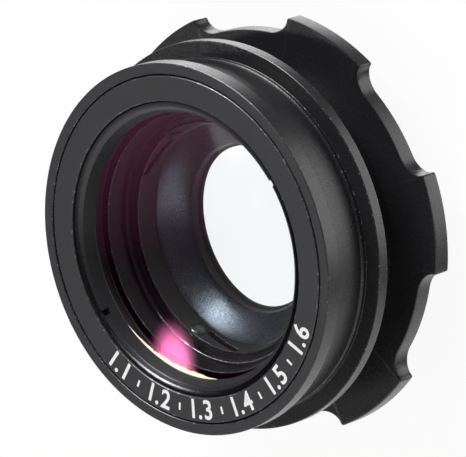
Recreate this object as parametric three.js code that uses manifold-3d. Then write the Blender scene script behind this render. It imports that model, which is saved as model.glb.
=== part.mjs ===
// Zoom eyepiece magnifier for a camera's viewfinder, in millimetres.
// A scalloped ring turns on a fixed barrel. Three pins of the moving lens carrier pass
// through helical slots in the barrel into straight keyways in the ring, so that turning
// the ring slides the camera-side lens along the axis.
// +Z is the optical axis, towards the eye. The origin is on the axis, on the camera-side face.

import * as THREE from 'three';
import { mergeVertices } from 'three/addons/utils/BufferGeometryUtils.js';
import Module from 'manifold-3d';

const wasm = await Module();
wasm.setup();

// Clearances
const runGap = 0.1; // between parts that turn or slide on each other
const fitGap = 0.05; // around screwed, pressed and seated parts
const cutOver = 0.4; // overrun of a cut beyond the wall that it goes through

const overallHeight = 19.2; // from the camera-side face to the eye rim

// Barrel
const barrelWall = 1.3;
const barrelEndThickness = 1.2;
const barrelEndWidth = 1.8; // inward end of the barrel, which takes the rear plate's screws
const channelDepth = 1.67; // annular channel behind the flange, for the zoom ring's hub
const seatWebThickness = 0.6;
const flangeThickness = 1.35;
const flangeLedge = 1.76;
const shoulderHeight = 0.49;
const shoulderStep = 0.68;
const spigotHeight = 2.06;
const spigotWall = 1.9;

// Eye ring, the front housing
const neckWall = 1.25;
const neckFoot = 0.5;
const rimOverhang = 1.4;
const rimHeight = 1.8;
const rimWidth = 1.2;

// Name ring and the front retaining ring
const nameRingHeight = 1.6;
const nameRingWidth = 2.71;
const seamWidth = 0.15;
const frontRingHeight = 1.65;
const frontRingSink = 0.25;
const frontRingDip = 0.35;
const frontRingLip = 0.86;
const notchWidth = 0.7;
const notchDepth = 0.5;
const notchAngle = THREE.MathUtils.degToRad(14.5);

// Eye lens and its spacer
const eyeLensSeat = 1.9;
const eyeLensEdge = 3;
const eyeLensLand = 0.9;
const eyeLensCurve = 80;
const spacerHeight = 1.03;
const spacerWall = 1;

// Zoom ring
const lobeCount = 6;
const lobeRadius = 23;
const lobeHeight = 2.1;
const lobeAngle = THREE.MathUtils.degToRad(26.8);
const valleyAngle = THREE.MathUtils.degToRad(20.2);
const firstLobeAngle = THREE.MathUtils.degToRad(46);
const lobeCorner = 0.32;
const gripThickness = 2.1;
const gripChamfer = 0.2;
const hubWall = 2.2;
const keywayDepth = 1.3;
const washerThickness = 0.2;

// Lens carrier and its lens
const forwardTravel = 0.6;
const backwardTravel = 2.22;
const camLead = 21.6; // travel of the carrier for one whole turn of the zoom ring
const slotRoof = 0.44;
const skirtWall = 0.4;
const skirtRim = 0.95;
const skirtStep = 1.73;
const clearRadius = 9.8;
const carrierLensLip = 0.8;
const carrierLensEdge = 1;
const carrierLensCurve = 40;
const carrierTubeWall = 0.75;
const carrierShelf = 0.3;
const shelfWidth = 1.04; // sloped shelf between the lens seat and the foot of the funnel
const shelfRise = 0.62;
const carrierRingHeight = 0.3;
const carrierRingWidth = 0.3;
const carrierRingSink = 0.3;

// Cam pins and their bushes
const pinCount = 3;
const pinRadius = 0.55;
const pinHeadRadius = 0.78;
const pinHeadHeight = 0.35;
const bushWall = 0.3;
const firstPinAngle = THREE.MathUtils.degToRad(224);

// Rear plate and its fastenings
const plateFloor = 1.9;
const plateRim = 1.4;
const plateMargin = 0.1;
const plateBevel = 0.9;
const screwCount = 3;
const screwRadius = 0.6;
const screwHeadRadius = 0.95;
const screwHeadHeight = 0.7;
const screwInset = 1.1;
const screwSink = 0.1;
const firstScrewAngle = THREE.MathUtils.degToRad(30);
const adapterHoleRadius = 0.8;
const adapterHoleDepth = 2.6;

// Edge breaks and mesh fineness
const edgeBreak = 0.15;
const outerSegments = 56;
const innerSegments = 40;
const smallSegments = 12;
const lensRings = 5;
const gripArcSegments = 4;
const neckRings = 7;
const slotSteps = 8;

// Radii that follow, from the axis outwards
const lensCellRadius = clearRadius + carrierLensLip;
const carrierTubeBore = lensCellRadius + fitGap;
const carrierTubeRadius = carrierTubeBore + carrierTubeWall;
const rearBore = carrierTubeRadius + runGap;
const barrelBore = rearBore + barrelEndWidth;
const skirtRadius = barrelBore - runGap;
const skirtBore = skirtRadius - skirtWall;
const barrelRadius = barrelBore + barrelWall;
const hubBore = barrelRadius + runGap;
const hubRadius = hubBore + hubWall;
const channelRadius = hubRadius + runGap + fitGap;
const eyeLensRadius = barrelBore + eyeLensSeat;
const eyeLensBore = eyeLensRadius + runGap;
const spigotRadius = eyeLensBore + spigotWall;
const threadBore = spigotRadius + fitGap;
const neckRadius = threadBore + neckWall;
const rimRadius = neckRadius + rimOverhang;
const shoulderRadius = neckRadius + shoulderStep;
const flangeRadius = shoulderRadius + flangeLedge;
const recessRadius = rimRadius - rimWidth;
const nameRingRadius = recessRadius - seamWidth;
const nameRingBore = nameRingRadius - nameRingWidth;
const frontRingRadius = nameRingBore - seamWidth;
const frontRingBore = frontRingRadius - frontRingLip;
const eyeLensClear = eyeLensRadius - eyeLensLand;
const valleyRadius = lobeRadius - lobeHeight;
const plateRadius = hubRadius + plateMargin;
const plateCupBore = barrelRadius + runGap;
const screwCircle = barrelRadius - screwInset;
const bushRadius = pinRadius + fitGap + bushWall;
const slotHalfWidth = bushRadius + fitGap;
const keywayRadius = hubBore + keywayDepth;
const pinHeadFoot = keywayRadius - pinHeadHeight - runGap;

// Heights that follow: the lens stack down from the eye rim, then the rest from the rear
const frontFace = overallHeight;
const rimRear = frontFace - rimHeight;
const recessFloor = frontFace - nameRingHeight;
const frontRingTop = frontFace - frontRingSink;
const eyeLensFront = frontRingTop - frontRingHeight;
const eyeLensRear = eyeLensFront - eyeLensEdge;
const seatHeight = eyeLensRear - spacerHeight;
const channelTop = seatHeight - seatWebThickness;
const flangeRear = channelTop - channelDepth;
const flangeFront = flangeRear + flangeThickness;
const shoulderTop = flangeFront + shoulderHeight;
const spigotTop = shoulderTop + spigotHeight;
const plateTop = plateFloor + plateRim;
const gripRear = plateTop + washerThickness + runGap;
const hubTop = channelTop - washerThickness - fitGap;
const pinHeight = channelTop - slotRoof - slotHalfWidth - forwardTravel;
const skirtTop = pinHeight + skirtRim;
const skirtFoot = plateFloor + barrelEndThickness + backwardTravel + runGap;
const carrierRear = backwardTravel + runGap;
const carrierRingRear = carrierRear + carrierRingSink;
const carrierLensRear = carrierRingRear + carrierRingHeight;
const carrierLensFront = carrierLensRear + carrierLensEdge;
const shelfFoot = carrierLensFront + carrierShelf;
const funnelTop = skirtTop - skirtStep;
const keywayFoot = pinHeight - backwardTravel - slotHalfWidth - runGap;

// Finishes
const blackAnodised = { color: 0x2b2b2d, roughness: 0.42, metalness: 0.6 };
const matteBlack = { color: 0x141416, roughness: 0.7, metalness: 0.3 };
const coatedGlass = { color: 0x9a7f96, roughness: 0.05, metalness: 0, transparent: true, opacity: 0.35 };
const steel = { color: 0xa9adb1, roughness: 0.3, metalness: 1 };
const brass = { color: 0xb08d4a, roughness: 0.35, metalness: 1 };
const nylon = { color: 0x1f1f20, roughness: 0.6, metalness: 0 };

const magnifier = new THREE.Group();

function addPart(name, geometry, finish) {
  const mesh = new THREE.Mesh(geometry, new THREE.MeshStandardMaterial(finish));
  mesh.name = name;
  magnifier.add(mesh);
}

// A turned solid. The profile lists [radius, height] points anticlockwise, so that its
// outer wall climbs and its bore comes down, and it closes on itself.
function turned(profile, segments) {
  const points = [...profile, profile[0]].map(([radius, height]) => new THREE.Vector2(radius, height));
  return new THREE.LatheGeometry(points, segments).rotateX(Math.PI / 2);
}

// A plain ring between two radii and two heights.
function plainRing(bore, radius, bottom, top, segments) {
  return turned([[bore, bottom], [radius, bottom], [radius, top], [bore, top]], segments);
}

function solidOf(geometry) {
  const bare = geometry.clone();
  bare.deleteAttribute('normal');
  bare.deleteAttribute('uv');
  const merged = mergeVertices(bare);
  const vertProperties = merged.attributes.position.array;
  const triVerts = Uint32Array.from(merged.index.array);
  return new wasm.Manifold(new wasm.Mesh({ numProp: 3, vertProperties, triVerts }));
}

function geometryOf(solid) {
  const { vertProperties, triVerts, numProp } = solid.getMesh();
  const geometry = new THREE.BufferGeometry();
  const positions = new THREE.InterleavedBufferAttribute(
    new THREE.InterleavedBuffer(vertProperties, numProp), 3, 0);
  geometry.setAttribute('position', positions);
  geometry.setIndex(new THREE.BufferAttribute(triVerts, 1));
  const plain = geometry.toNonIndexed();
  plain.computeVertexNormals();
  return plain;
}

function cut(geometry, cutters) {
  const result = cutters.reduce((solid, cutter) => solid.subtract(solidOf(cutter)), solidOf(geometry));
  return geometryOf(result);
}

// A round rod that lies along a radius of the object, at an angle round the axis.
function radialRod(radius, fromRadius, toRadius, angle, height) {
  const rod = new THREE.CylinderGeometry(radius, radius, toRadius - fromRadius, smallSegments);
  rod.rotateZ(-Math.PI / 2);
  rod.translate((fromRadius + toRadius) / 2, 0, height);
  return rod.rotateZ(angle);
}

// A round rod parallel to the axis.
function axialRod(radius, bottom, top, circle, angle) {
  const rod = new THREE.CylinderGeometry(radius, radius, top - bottom, smallSegments);
  rod.rotateX(Math.PI / 2);
  rod.translate(circle, 0, (bottom + top) / 2);
  return rod.rotateZ(angle);
}

// A block that lies along a radius, for notches and keyways.
function radialBlock(fromRadius, toRadius, width, bottom, top, angle) {
  const block = new THREE.BoxGeometry(toRadius - fromRadius, width, top - bottom);
  block.translate((fromRadius + toRadius) / 2, 0, (bottom + top) / 2);
  return block.rotateZ(angle);
}

// A bar that winds round the axis while it climbs: the straight-sided part of a cam slot.
function helicalBar(fromRadius, toRadius, halfHeight, start, end) {
  const corners = [[fromRadius, -1], [toRadius, -1], [toRadius, 1], [fromRadius, 1]];
  const positions = [];
  const index = [];
  for (let step = 0; step <= slotSteps; step += 1) {
    const share = step / slotSteps;
    const angle = THREE.MathUtils.lerp(start.angle, end.angle, share);
    const height = THREE.MathUtils.lerp(start.height, end.height, share);
    for (const [radius, side] of corners) {
      positions.push(radius * Math.cos(angle), radius * Math.sin(angle), height + side * halfHeight);
    }
  }
  const numberOf = (step, corner) => step * corners.length + (corner % corners.length);
  for (let step = 0; step < slotSteps; step += 1) {
    for (let corner = 0; corner < corners.length; corner += 1) {
      const [here, beside] = [numberOf(step, corner), numberOf(step, corner + 1)];
      const [ahead, besideAhead] = [numberOf(step + 1, corner), numberOf(step + 1, corner + 1)];
      index.push(here, ahead, beside, beside, ahead, besideAhead);
    }
  }
  const endCap = [0, 2, 1, 0, 3, 2];
  index.push(0, 1, 2, 0, 2, 3, ...endCap.map((corner) => numberOf(slotSteps, corner)));
  const geometry = new THREE.BufferGeometry();
  geometry.setAttribute('position', new THREE.Float32BufferAttribute(positions, 3));
  geometry.setIndex(index);
  return geometry;
}

function turnFor(travel) {
  return (travel / camLead) * 2 * Math.PI;
}

function anglesFrom(first, count) {
  return Array.from({ length: count }, (_, place) => first + (place * 2 * Math.PI) / count);
}

const pinAngles = anglesFrom(firstPinAngle, pinCount);
const screwAngles = anglesFrom(firstScrewAngle, screwCount);

// The fixed tube: lens cup and spigot in front, flange and shoulder outside, a channel for
// the hub behind the flange, and an inward end for the rear plate's screws.
function barrel() {
  const profile = [
    [rearBore, plateFloor],
    [barrelRadius, plateFloor],
    [barrelRadius, channelTop],
    [channelRadius, channelTop],
    [channelRadius, flangeRear],
    [flangeRadius - edgeBreak, flangeRear],
    [flangeRadius, flangeRear + edgeBreak],
    [flangeRadius, flangeFront - edgeBreak],
    [flangeRadius - edgeBreak, flangeFront],
    [shoulderRadius, flangeFront],
    [shoulderRadius, shoulderTop - edgeBreak],
    [shoulderRadius - edgeBreak, shoulderTop],
    [spigotRadius, shoulderTop],
    [spigotRadius, spigotTop],
    [eyeLensBore, spigotTop],
    [eyeLensBore, seatHeight],
    [barrelBore, seatHeight],
    [barrelBore, plateFloor + barrelEndThickness],
    [rearBore, plateFloor + barrelEndThickness],
  ];
  const cutters = pinAngles.flatMap((angle) => {
    const inside = barrelBore - cutOver;
    const outside = barrelRadius + cutOver;
    const start = { angle: angle - turnFor(backwardTravel), height: pinHeight - backwardTravel };
    const end = { angle: angle + turnFor(forwardTravel), height: pinHeight + forwardTravel };
    return [
      helicalBar(inside, outside, slotHalfWidth, start, end),
      radialRod(slotHalfWidth, inside, outside, start.angle, start.height),
      radialRod(slotHalfWidth, inside, outside, end.angle, end.height),
    ];
  });
  const tapTop = plateFloor + barrelEndThickness - runGap;
  const tapped = screwAngles.map((angle) => (
    axialRod(screwRadius + fitGap, plateFloor - cutOver, tapTop, screwCircle, angle)
  ));
  return cut(turned(profile, outerSegments), [...cutters, ...tapped]);
}

// The front housing: a rim, then a neck that draws in smoothly to a straight foot.
function eyeRing() {
  const neckTop = rimRear - edgeBreak;
  const neckFootTop = shoulderTop + neckFoot;
  const neck = Array.from({ length: neckRings + 1 }, (_, place) => {
    const share = place / neckRings;
    const drawIn = (1 + Math.cos(Math.PI * share)) / 2;
    return [
      THREE.MathUtils.lerp(rimRadius - edgeBreak, neckRadius, drawIn),
      THREE.MathUtils.lerp(neckFootTop, neckTop, share),
    ];
  });
  const profile = [
    [threadBore, shoulderTop],
    [neckRadius, shoulderTop],
    ...neck,
    [rimRadius, rimRear],
    [rimRadius, frontFace - edgeBreak],
    [rimRadius - edgeBreak, frontFace],
    [recessRadius + edgeBreak, frontFace],
    [recessRadius, frontFace - edgeBreak],
    [recessRadius, recessFloor],
    [frontRingRadius + fitGap, recessFloor],
    [frontRingRadius + fitGap, eyeLensFront - seamWidth],
    [eyeLensBore, eyeLensFront - seamWidth],
    [eyeLensBore, spigotTop + runGap],
    [threadBore, spigotTop + runGap],
  ];
  return turned(profile, outerSegments);
}

function nameRing() {
  return turned([
    [nameRingBore, recessFloor],
    [nameRingRadius, recessFloor],
    [nameRingRadius, frontFace - edgeBreak],
    [nameRingRadius - edgeBreak, frontFace],
    [nameRingBore + edgeBreak, frontFace],
    [nameRingBore, frontFace - edgeBreak],
  ], outerSegments);
}

// The retaining ring dips towards its bore, then narrows as a cone down to the lens.
function frontRetainingRing() {
  const ring = turned([
    [eyeLensClear, eyeLensFront],
    [frontRingRadius, eyeLensFront],
    [frontRingRadius, frontRingTop - edgeBreak],
    [frontRingRadius - edgeBreak, frontRingTop],
    [frontRingBore, frontRingTop - frontRingDip],
  ], outerSegments);
  const notches = anglesFrom(notchAngle, 2).map((angle) => (
    radialBlock(eyeLensClear - cutOver, frontRingBore + notchDepth, notchWidth,
      frontRingTop - frontRingDip - notchDepth, frontRingTop + cutOver, angle)
  ));
  return cut(ring, notches);
}

// Half of a lens section: heights of a spherical face from its edge to the axis.
function sphericalFace(clear, curve, edgeHeight, direction) {
  const edgeDrop = curve - Math.sqrt(curve ** 2 - clear ** 2);
  return Array.from({ length: lensRings + 1 }, (_, place) => {
    const radius = clear * (1 - place / lensRings);
    const drop = curve - Math.sqrt(curve ** 2 - radius ** 2);
    return [radius, edgeHeight + direction * (edgeDrop - drop)];
  });
}

// A lens whose flat face is at the rear. Direction 1 bulges towards the eye, -1 is hollow.
function lens(radius, clear, rear, front, curve, direction) {
  const face = sphericalFace(clear, curve, front, direction);
  const profile = [[0, rear], [radius, rear], [radius, front], ...face];
  const points = profile.map(([across, height]) => new THREE.Vector2(across, height));
  return new THREE.LatheGeometry(points, innerSegments).rotateX(Math.PI / 2);
}

function eyeLens() {
  return lens(eyeLensRadius, eyeLensClear, eyeLensRear, eyeLensFront, eyeLensCurve, -1);
}

function carrierLens() {
  return lens(lensCellRadius, clearRadius, carrierLensRear, carrierLensFront, carrierLensCurve, 1);
}

function lensSpacer() {
  return plainRing(eyeLensRadius - spacerWall, eyeLensRadius, seatHeight, eyeLensRear, innerSegments);
}

// A thin bearing washer round the barrel, as wide as the hub that it carries.
function thrustWasher(bottom) {
  return plainRing(hubBore, hubRadius, bottom, bottom + washerThickness, innerSegments);
}

// The scalloped outline. Each lobe has a floor arc before it, a fillet up the flank, a small
// corner and its own arc, and comes down the same way.
function gripOutline() {
  const shape = new THREE.Shape();
  const pitch = (2 * Math.PI) / lobeCount;
  const onCircle = (radius, angle) => new THREE.Vector2(radius * Math.cos(angle), radius * Math.sin(angle));
  const flankReachShare = 0.45;
  for (let place = 0; place < lobeCount; place += 1) {
    const lobeStart = firstLobeAngle + place * pitch - lobeAngle / 2;
    const lobeEnd = lobeStart + lobeAngle;
    const floorStart = lobeStart - (pitch - lobeAngle + valleyAngle) / 2;
    const floorEnd = floorStart + valleyAngle;
    const cornerAngle = lobeCorner / lobeRadius;
    const flankTop = onCircle(lobeRadius - lobeCorner, lobeStart);
    const nextFlankTop = onCircle(lobeRadius - lobeCorner, lobeEnd);
    const nextFloorStart = floorStart + pitch;
    const reach = (lobeStart - floorEnd) * flankReachShare;
    const floorFirst = onCircle(valleyRadius, floorStart);
    if (place === 0) shape.moveTo(floorFirst.x, floorFirst.y);
    shape.absarc(0, 0, valleyRadius, floorStart, floorEnd, false);
    const rise = onCircle(valleyRadius, lobeStart - reach);
    const knee = onCircle(valleyRadius + lobeHeight * flankReachShare, lobeStart);
    shape.bezierCurveTo(rise.x, rise.y, knee.x, knee.y, flankTop.x, flankTop.y);
    const corner = onCircle(lobeRadius, lobeStart);
    const arcFirst = onCircle(lobeRadius, lobeStart + cornerAngle);
    shape.quadraticCurveTo(corner.x, corner.y, arcFirst.x, arcFirst.y);
    shape.absarc(0, 0, lobeRadius, lobeStart + cornerAngle, lobeEnd - cornerAngle, false);
    const farCorner = onCircle(lobeRadius, lobeEnd);
    shape.quadraticCurveTo(farCorner.x, farCorner.y, nextFlankTop.x, nextFlankTop.y);
    const farKnee = onCircle(valleyRadius + lobeHeight * flankReachShare, lobeEnd);
    const farRise = onCircle(valleyRadius, lobeEnd + reach);
    const nextFloor = onCircle(valleyRadius, nextFloorStart);
    shape.bezierCurveTo(farKnee.x, farKnee.y, farRise.x, farRise.y, nextFloor.x, nextFloor.y);
  }
  return shape;
}

// The ring that the fingers turn: a chamfered scalloped grip, a hub that reaches under the
// flange, and three keyways in the hub's bore, open at the front for assembly.
function zoomRing() {
  const grip = new THREE.ExtrudeGeometry(gripOutline(), {
    depth: gripThickness - 2 * gripChamfer,
    bevelEnabled: true,
    bevelThickness: gripChamfer,
    bevelSize: gripChamfer,
    bevelOffset: -gripChamfer,
    bevelSegments: 1,
    curveSegments: gripArcSegments,
  });
  grip.translate(0, 0, gripRear + gripChamfer);
  const hub = plainRing(hubBore, hubRadius, gripRear, hubTop, outerSegments);
  const bore = new THREE.CylinderGeometry(hubBore, hubBore, gripThickness + 2 * cutOver, outerSegments);
  bore.rotateX(Math.PI / 2).rotateZ(Math.PI / 2);
  bore.translate(0, 0, gripRear + gripThickness / 2);
  const keyways = pinAngles.map((angle) => (
    radialBlock(hubBore - cutOver, keywayRadius, 2 * slotHalfWidth, keywayFoot, hubTop + cutOver, angle)
  ));
  const plate = solidOf(grip).subtract(solidOf(bore));
  const joined = plate.add(solidOf(hub));
  return geometryOf(keyways.reduce((solid, keyway) => solid.subtract(solidOf(keyway)), joined));
}

// The moving cell: a skirt that runs in the barrel, a funnel inside, and a narrow tube
// with the lens seat that runs through the barrel's end and the rear plate.
function lensCarrier() {
  const profile = [
    [carrierTubeBore, carrierRear],
    [carrierTubeRadius, carrierRear],
    [carrierTubeRadius, skirtFoot],
    [skirtRadius, skirtFoot],
    [skirtRadius, skirtTop - edgeBreak],
    [skirtRadius - edgeBreak, skirtTop],
    [skirtBore, skirtTop],
    [skirtBore, funnelTop],
    [clearRadius + shelfWidth, shelfFoot + shelfRise],
    [clearRadius, shelfFoot],
    [clearRadius, carrierLensFront],
    [carrierTubeBore, carrierLensFront],
  ];
  const holes = pinAngles.map((angle) => (
    radialRod(pinRadius + fitGap, skirtBore - cutOver, skirtRadius + cutOver, angle, pinHeight)
  ));
  return cut(turned(profile, innerSegments), holes);
}

// A thin threaded ring with two spanner notches on its rear face.
function carrierRetainingRing() {
  const bore = lensCellRadius - carrierRingWidth;
  const ring = plainRing(bore, lensCellRadius, carrierRingRear, carrierLensRear, innerSegments);
  const notches = anglesFrom(notchAngle, 2).map((angle) => (
    radialBlock(bore - cutOver, lensCellRadius + cutOver, notchWidth,
      carrierRingRear - cutOver, carrierRingRear + carrierRingHeight / 2, angle)
  ));
  return cut(ring, notches);
}

function camPin(angle) {
  const headTop = pinHeadFoot + pinHeadHeight;
  const shankEnd = pinHeadFoot + pinHeadHeight / 2;
  const shank = solidOf(radialRod(pinRadius, skirtBore, shankEnd, angle, pinHeight));
  const head = solidOf(radialRod(pinHeadRadius, pinHeadFoot, headTop, angle, pinHeight));
  return geometryOf(shank.add(head));
}

function guideBush(angle) {
  const inner = skirtRadius + fitGap;
  const outer = pinHeadFoot - fitGap;
  const sleeve = radialRod(bushRadius, inner, outer, angle, pinHeight);
  return cut(sleeve, [radialRod(pinRadius + fitGap, inner - cutOver, outer + cutOver, angle, pinHeight)]);
}

// The camera-side plate: it caps the barrel's end, clears the moving cell through a
// bevelled bore, and has sunk screw heads and two holes for an adapter's screws.
function rearPlate() {
  const profile = [
    [rearBore + plateBevel, 0],
    [plateRadius - edgeBreak, 0],
    [plateRadius, edgeBreak],
    [plateRadius, plateTop],
    [plateCupBore, plateTop],
    [plateCupBore, plateFloor],
    [rearBore, plateFloor],
    [rearBore, plateBevel],
  ];
  const screwHoles = screwAngles.flatMap((angle) => [
    axialRod(screwRadius + runGap, -cutOver, plateFloor + cutOver, screwCircle, angle),
    axialRod(screwHeadRadius + runGap, -cutOver, screwSink + screwHeadHeight, screwCircle, angle),
  ]);
  const adapterCircle = (plateCupBore + plateRadius) / 2;
  const adapterHoles = anglesFrom(0, 2).map((angle) => (
    axialRod(adapterHoleRadius, -cutOver, adapterHoleDepth, adapterCircle, angle)
  ));
  return cut(turned(profile, innerSegments), [...screwHoles, ...adapterHoles]);
}

// A small screw, head down, whose shank starts inside its own head.
function rearPlateScrew(angle) {
  const neck = screwSink + screwHeadHeight;
  const tip = plateFloor + barrelEndThickness - 2 * runGap;
  const shank = solidOf(axialRod(screwRadius, screwSink + screwHeadHeight / 2, tip, screwCircle, angle));
  return geometryOf(shank.add(solidOf(axialRod(screwHeadRadius, screwSink, neck, screwCircle, angle))));
}

addPart('barrel', barrel(), blackAnodised);
addPart('eye_ring', eyeRing(), blackAnodised);
addPart('name_ring', nameRing(), blackAnodised);
addPart('front_retaining_ring', frontRetainingRing(), blackAnodised);
addPart('eye_lens', eyeLens(), coatedGlass);
addPart('lens_spacer', lensSpacer(), matteBlack);
addPart('front_thrust_washer', thrustWasher(channelTop - washerThickness), nylon);
addPart('zoom_ring', zoomRing(), blackAnodised);
addPart('rear_thrust_washer', thrustWasher(plateTop), nylon);
addPart('rear_plate', rearPlate(), blackAnodised);
screwAngles.forEach((angle, place) => {
  addPart(`rear_plate_screw_${place + 1}`, rearPlateScrew(angle), steel);
});
addPart('lens_carrier', lensCarrier(), matteBlack);
addPart('carrier_lens', carrierLens(), coatedGlass);
addPart('carrier_retaining_ring', carrierRetainingRing(), matteBlack);
pinAngles.forEach((angle, place) => {
  addPart(`cam_pin_${place + 1}`, camPin(angle), steel);
  addPart(`guide_bush_${place + 1}`, guideBush(angle), brass);
});

export default magnifier;
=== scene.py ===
# Zoom eyepiece magnifier: black blasted aluminium, coated glass, studio white.
# The turned pieces are drawn as half sections in millimetres and spun round +Z.
import math

import bpy
from mathutils import Matrix, Vector


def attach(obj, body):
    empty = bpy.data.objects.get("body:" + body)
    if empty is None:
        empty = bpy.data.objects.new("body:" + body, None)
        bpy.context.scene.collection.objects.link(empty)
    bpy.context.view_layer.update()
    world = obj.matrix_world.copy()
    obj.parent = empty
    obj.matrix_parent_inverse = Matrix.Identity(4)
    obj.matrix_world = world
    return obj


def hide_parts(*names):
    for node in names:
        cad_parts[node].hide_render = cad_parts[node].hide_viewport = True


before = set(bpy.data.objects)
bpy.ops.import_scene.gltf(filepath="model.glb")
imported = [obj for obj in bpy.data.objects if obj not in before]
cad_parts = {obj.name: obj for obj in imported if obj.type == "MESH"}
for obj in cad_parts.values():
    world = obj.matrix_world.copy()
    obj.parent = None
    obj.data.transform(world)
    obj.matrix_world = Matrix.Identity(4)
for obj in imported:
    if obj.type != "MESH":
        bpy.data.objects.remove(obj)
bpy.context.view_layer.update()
mm = 0.001
print("frame loaded:", len(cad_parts), "nodes")


def toLinear(hexCode, gain=1.0):
    # an sRGB hex colour as linear RGBA, made lighter or darker by the gain
    levels = [int(hexCode[place:place + 2], 16) / 255 for place in (1, 3, 5)]
    linear = [level / 12.92 if level <= 0.04045 else ((level + 0.055) / 1.055) ** 2.4 for level in levels]
    return (*[level * gain for level in linear], 1.0)


def addNode(material, kind, sockets=None, **settings):
    # adds one shader node; settings are its own properties, and inputs with plain names;
    # sockets, by name or place, are linked to another node's output or set to a value
    node = material.node_tree.nodes.new(kind)
    for key, value in [*settings.items(), *(sockets or {}).items()]:
        if isinstance(value, bpy.types.NodeSocket):
            material.node_tree.links.new(value, node.inputs[key])
        elif isinstance(key, int) or key in node.inputs:
            node.inputs[key].default_value = value
        else:
            setattr(node, key, value)
    return node


def newMaterial(name):
    material = bpy.data.materials.new(name)
    material.use_nodes = True
    material.node_tree.nodes.clear()
    return material


def newPiece(name, points, faces):
    mesh = bpy.data.meshes.new(name)
    mesh.from_pydata([[value * mm for value in point] for point in points], [], faces)
    mesh.validate()
    piece = bpy.data.objects.new(name, mesh)
    bpy.context.scene.collection.objects.link(piece)
    return piece


def polar(radius, angle, height):
    return [radius * math.cos(angle), radius * math.sin(angle), height]


def spread(ring):
    # the angles of things set evenly round the axis
    return [math.radians(ring["first"] + place * 360 / ring["count"]) for place in range(ring["count"])]


def fromAxis(point):
    # how far a point of a mesh lies from the optical axis, in millimetres
    return math.hypot(point.x, point.y) / mm


def bearingOf(point):
    # degrees clockwise from +Y, as the eye sees the part
    return math.degrees(math.atan2(point.x, point.y)) % 360


def rounded(outline, steps=3):
    # softens each corner that has a third number, its radius; these are the edges that wear
    soft = []
    for place, (radius, height, *corner) in enumerate(outline):
        here = Vector((radius, height))
        if not corner:
            soft.append((*here, False))
            continue
        before = Vector(outline[place - 1][:2]) - here
        after = Vector(outline[(place + 1) % len(outline)][:2]) - here
        reach = min(corner[0] / math.tan(before.angle(after) / 2), before.length / 2.2, after.length / 2.2)
        first, last = here + before.normalized() * reach, here + after.normalized() * reach
        for step in range(steps + 1):
            share = step / steps
            soft.append((*first.lerp(here, share).lerp(here.lerp(last, share), share), step < steps))
    return soft


def turned(name, outline, segments=180):
    # spins a closed half section, listed anticlockwise, round the axis; worn edges get finish 1
    points, faces, rings, worn = [], [], [], []
    for radius, height, onEdge in rounded(outline):
        spokes = 1 if radius < 1e-6 else segments  # the section may start or end on the axis
        rings.append(([len(points) + step % spokes for step in range(segments)], onEdge))
        points += [polar(radius, 2 * math.pi * step / segments, height) for step in range(spokes)]
    for place, (here, onEdge) in enumerate(rings):
        above = rings[(place + 1) % len(rings)][0]
        for step in range(segments):
            beside = (step + 1) % segments
            face = [here[step], here[beside], above[beside], above[step]]
            face = [corner for side, corner in enumerate(face) if corner != face[side - 1]]
            if len(face) > 2:
                faces.append(face)
                worn.append(1 if onEdge else 0)
    piece = newPiece(name, points, faces)
    piece.data.polygons.foreach_set("material_index", worn)
    return piece


def rod(name, radius, start, end, segments=32):
    # a round rod between two points
    start, end = Vector(start), Vector(end)
    aim = (end - start).normalized().to_track_quat("Z", "Y").to_matrix()
    points = [foot + aim @ Vector(polar(radius, 2 * math.pi * step / segments, 0))
              for foot in (start, end) for step in range(segments)]
    faces = [[step, (step + 1) % segments, (step + 1) % segments + segments, step + segments]
             for step in range(segments)]
    faces += [list(reversed(range(segments))), [segments + step for step in range(segments)]]
    return newPiece(name, points, faces)


def uprightRod(name, radius, circle, angle, foot, top):
    return rod(name, radius, polar(circle, angle, foot), polar(circle, angle, top))


def block(name, low, high, angle=0.0):
    # a box between two corners, turned round the axis
    points = [(x, y, z) for z in (low[2], high[2]) for y in (low[1], high[1]) for x in (low[0], high[0])]
    faces = [(0, 2, 3, 1), (4, 5, 7, 6), (0, 1, 5, 4), (1, 3, 7, 5), (3, 2, 6, 7), (2, 0, 4, 6)]
    piece = newPiece(name, points, faces)
    piece.data.transform(Matrix.Rotation(angle, 4, "Z"))
    return piece


def barSection(angle, inner, outer, foot, top):
    return [polar(inner, angle, foot), polar(outer, angle, foot),
            polar(outer, angle, top), polar(inner, angle, top)]


def bentBar(name, sections):
    # a bar through four-cornered sections
    points = [point for section in sections for point in section]
    faces = [[0, 1, 2, 3], [len(points) - 1 - corner for corner in range(4)]]
    for step in range(len(sections) - 1):
        for corner in range(4):
            here, beside = step * 4 + corner, step * 4 + (corner + 1) % 4
            faces.append([here, here + 4, beside + 4, beside])
    return newPiece(name, points, faces)


def notchCutters(ring, low, high):
    # a pair of spanner notches across a ring, from one (radius, height) to another
    half = ring["notchWidth"] / 2
    return [block("notchCutter", (low[0], -half, low[1]), (high[0], half, high[1]),
                  math.radians(ring["notchAngle"] + side)) for side in (0, 180)]


def carve(piece, cutters):
    # takes the cutters out of the piece, and makes what is left the piece's own mesh
    for cutter in cutters:
        cut = piece.modifiers.new("carve", "BOOLEAN")
        cut.operation, cut.solver, cut.object = "DIFFERENCE", "EXACT", cutter
    bpy.context.view_layer.update()
    solid = piece.evaluated_get(bpy.context.evaluated_depsgraph_get())
    finished = bpy.data.meshes.new_from_object(solid)
    piece.modifiers.clear()
    piece.data = finished
    for cutter in cutters:
        bpy.data.objects.remove(cutter)


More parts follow.
